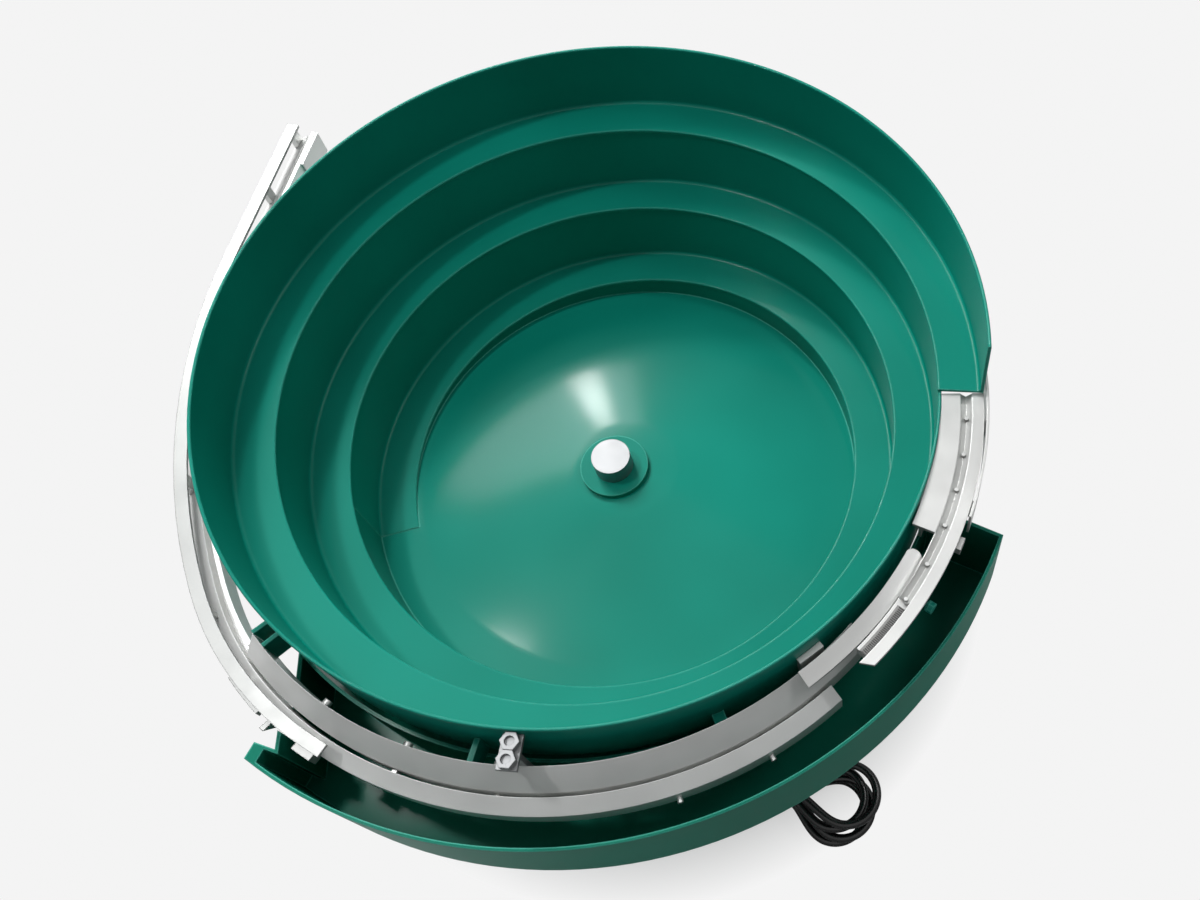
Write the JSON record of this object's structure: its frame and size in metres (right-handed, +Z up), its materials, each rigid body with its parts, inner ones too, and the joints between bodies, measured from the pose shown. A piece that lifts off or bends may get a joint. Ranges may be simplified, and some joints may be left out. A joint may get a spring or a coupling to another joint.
{
  "type": "vibratory bowl feeder",
  "caption": "Vibratory bowl feeder with a green-coated spiral bowl, stainless discharge tooling, a curved slotted rail and a return pan on an electromagnetic leaf-spring drive.",
  "frame": {"origin": "on the drive's axis, level with the undersides of the rubber feet", "axes": "+Z up along the drive's axis, +X towards the discharge tooling's start, +Y away from the front of the slotted rail"},
  "size_m": [0.5042, 0.4976, 0.3477],
  "materials": {
    "rubber": "matt black",
    "cast_iron": "grey paint over cast surface",
    "lamination_steel": "stacked laminations, varnished",
    "coil": "taped and varnished winding",
    "spring_steel": "ground spring steel",
    "plain_steel": "bright turned steel",
    "black_steel": "black oxide",
    "black_plastic": "smooth black",
    "green_coat": "glossy polyurethane coat",
    "stainless": "brushed stainless"
  },
  "bodies": {
    "base": {"rubber_feet": "rubber", "base_plate": "cast_iron", "magnet_bracket": "cast_iron", "magnet_core": "lamination_steel", "magnet_coil": "coil", "lower_spring_blocks": "cast_iron", "lower_clamp_plates": "plain_steel", "lower_clamp_bolts": "black_steel", "leaf_springs": "spring_steel", "lower_spacers": "spring_steel", "cable_gland": "black_plastic", "gland_nut": "black_plastic", "cable_to_hank": "black_plastic", "cable_hank": "black_plastic", "cable_tie": "black_plastic", "cable_to_plug": "black_plastic", "plug": "plain_steel"},
    "bowl": {"upper_spacers": "spring_steel", "upper_spring_blocks": "cast_iron", "upper_clamp_plates": "plain_steel", "upper_clamp_bolts": "black_steel", "armature": "lamination_steel", "top_plate": "cast_iron", "bowl_ring": "cast_iron", "bowl": "green_coat", "centre_washer": "green_coat", "centre_bolt": "plain_steel", "tooling_bar": "stainless", "discharge_plate": "stainless", "groove_channel": "stainless", "channel_screws": "stainless", "outer_plate": "stainless", "guard_strip": "stainless", "guide_plate": "stainless", "guide_bracket": "stainless", "serrated_strip": "black_steel", "outer_bolt": "green_coat", "clip_bracket": "stainless", "end_block": "stainless", "inner_rail": "stainless", "inner_bar": "stainless", "outer_rail": "stainless", "channel_floor": "stainless", "cover_strip": "stainless", "cover_spacers": "stainless", "slot_spacers": "stainless", "rail_lugs": "stainless", "rail_screws": "stainless", "outer_studs": "stainless", "rail_arm": "green_coat", "rail_gusset": "green_coat", "rail_clip": "green_coat", "link_plate": "stainless", "link_bolts": "stainless", "exit_bracket": "stainless", "return_pan": "green_coat", "pan_apron": "green_coat", "pan_ribs": "green_coat"}
  },
  "joints": [
    {"name": "bowl_vibration", "type": "hinge", "parent": "base", "child": "bowl", "pos_m": [0, 0, 0.15], "axis": [0, 0, 1], "range_deg": [-0.4, 0.4], "stiffness_Nm_per_rad": 50000, "deforming": ["leaf_springs"]}
  ]
}
